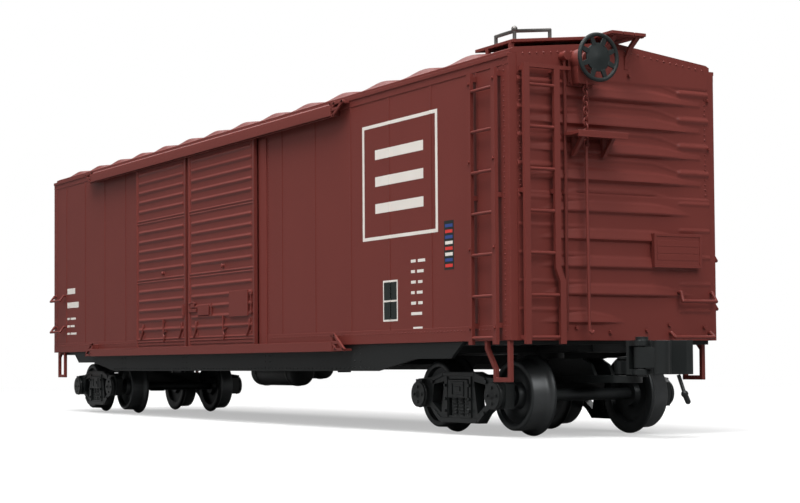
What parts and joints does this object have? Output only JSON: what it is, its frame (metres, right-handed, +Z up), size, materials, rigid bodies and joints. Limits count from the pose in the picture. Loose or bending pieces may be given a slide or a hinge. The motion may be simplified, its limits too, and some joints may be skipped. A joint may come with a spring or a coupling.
{
  "type": "O-scale model railroad boxcar",
  "caption": "Scale model of a long steel double-door railroad boxcar with sliding doors, swivelling trucks, knuckle couplers and a roof walk.",
  "frame": {"origin": "under the middle of the car, level with the bottom of the wheel flanges", "axes": "+X towards the brake end, +Z up, -Y the right side"},
  "size_m": [0.372, 0.0672, 0.0984],
  "materials": {
    "body_paint": "satin oxide-red paint",
    "floor_boards": "matt boards",
    "frame_black": "satin black",
    "truck_black": "satin black on die-cast metal",
    "wheel_steel": "blackened, turned",
    "dark_steel": "dark grey, satin",
    "bare_wire": "bare wire"
  },
  "bodies": {
    "car_body": {"right_side": "body_paint", "left_side": "body_paint", "brake_end": "body_paint", "plain_end": "body_paint", "roof": "body_paint", "floor": "floor_boards", "underframe": "frame_black", "right_sill": "frame_black", "left_sill": "frame_black", "running_board": "body_paint", "lateral_boards": "body_paint", "corner_handrails": "bare_wire", "right_door_tracks": "body_paint", "left_door_tracks": "body_paint", "side_ladders": "body_paint", "end_ladders": "body_paint", "grab_irons": "body_paint", "sill_steps": "body_paint", "brake_wheel": "dark_steel", "brake_housing": "body_paint", "brake_rigging": "body_paint", "brake_platform": "body_paint", "retainer_valve": "body_paint", "placard_boards": "body_paint", "brake_cylinder": "frame_black", "air_reservoir": "frame_black", "control_valve": "frame_black", "train_pipe": "frame_black"},
    "right_main_door_panel": {"right_main_door": "body_paint"},
    "right_aux_door_panel": {"right_aux_door": "body_paint"},
    "left_main_door_panel": {"left_main_door": "body_paint"},
    "left_aux_door_panel": {"left_aux_door": "body_paint"},
    "front_truck": {"front_bolster": "truck_black", "front_right_sideframe": "truck_black", "front_left_sideframe": "truck_black", "front_coupler_arm": "truck_black"},
    "front_outer_wheelset": {"front_outer_axle": "wheel_steel", "front_outer_wheels": "wheel_steel"},
    "front_inner_wheelset": {"front_inner_axle": "wheel_steel", "front_inner_wheels": "wheel_steel"},
    "front_coupler_head": {"front_coupler": "truck_black", "front_uncoupler": "truck_black"},
    "front_knuckle_jaw": {"front_knuckle": "truck_black"},
    "rear_truck": {"rear_bolster": "truck_black", "rear_right_sideframe": "truck_black", "rear_left_sideframe": "truck_black", "rear_coupler_arm": "truck_black"},
    "rear_outer_wheelset": {"rear_outer_axle": "wheel_steel", "rear_outer_wheels": "wheel_steel"},
    "rear_inner_wheelset": {"rear_inner_axle": "wheel_steel", "rear_inner_wheels": "wheel_steel"},
    "rear_coupler_head": {"rear_coupler": "truck_black", "rear_uncoupler": "truck_black"},
    "rear_knuckle_jaw": {"rear_knuckle": "truck_black"}
  },
  "joints": [
    {"name": "right_main_door_slide", "type": "slide", "parent": "car_body", "child": "right_main_door_panel", "axis": [1, 0, 0], "range_m": [0, 0.051]},
    {"name": "right_aux_door_slide", "type": "slide", "parent": "car_body", "child": "right_aux_door_panel", "axis": [-1, 0, 0], "range_m": [0, 0.0425]},
    {"name": "left_main_door_slide", "type": "slide", "parent": "car_body", "child": "left_main_door_panel", "axis": [-1, 0, 0], "range_m": [0, 0.051]},
    {"name": "left_aux_door_slide", "type": "slide", "parent": "car_body", "child": "left_aux_door_panel", "axis": [1, 0, 0], "range_m": [0, 0.0425]},
    {"name": "front_truck_swivel", "type": "hinge", "parent": "car_body", "child": "front_truck", "pos_m": [0.131, 0, 0.0189], "axis": [0, 0, 1], "range_deg": [-20, 20]},
    {"name": "front_outer_wheels_turn", "type": "hinge", "parent": "front_truck", "child": "front_outer_wheelset", "pos_m": [0.1485, 0, 0.01], "axis": [0, 1, 0], "continuous": true},
    {"name": "front_inner_wheels_turn", "type": "hinge", "parent": "front_truck", "child": "front_inner_wheelset", "pos_m": [0.1135, 0, 0.01], "axis": [0, 1, 0], "continuous": true},
    {"name": "front_coupler_swing", "type": "hinge", "parent": "front_truck", "child": "front_coupler_head", "pos_m": [0.1665, 0, 0.0165], "axis": [0, 0, 1], "range_deg": [-8, 8]},
    {"name": "front_knuckle_open", "type": "hinge", "parent": "front_coupler_head", "child": "front_knuckle_jaw", "pos_m": [0.1795, -0.0052, 0.019], "axis": [0, 0, -1], "range_deg": [0, 40]},
    {"name": "rear_truck_swivel", "type": "hinge", "parent": "car_body", "child": "rear_truck", "pos_m": [-0.131, 0, 0.0189], "axis": [0, 0, 1], "range_deg": [-20, 20]},
    {"name": "rear_outer_wheels_turn", "type": "hinge", "parent": "rear_truck", "child": "rear_outer_wheelset", "pos_m": [-0.1485, 0, 0.01], "axis": [0, 1, 0], "continuous": true},
    {"name": "rear_inner_wheels_turn", "type": "hinge", "parent": "rear_truck", "child": "rear_inner_wheelset", "pos_m": [-0.1135, 0, 0.01], "axis": [0, 1, 0], "continuous": true},
    {"name": "rear_coupler_swing", "type": "hinge", "parent": "rear_truck", "child": "rear_coupler_head", "pos_m": [-0.1665, 0, 0.0165], "axis": [0, 0, 1], "range_deg": [-8, 8]},
    {"name": "rear_knuckle_open", "type": "hinge", "parent": "rear_coupler_head", "child": "rear_knuckle_jaw", "pos_m": [-0.1795, 0.0052, 0.019], "axis": [0, 0, -1], "range_deg": [0, 40]}
  ]
}
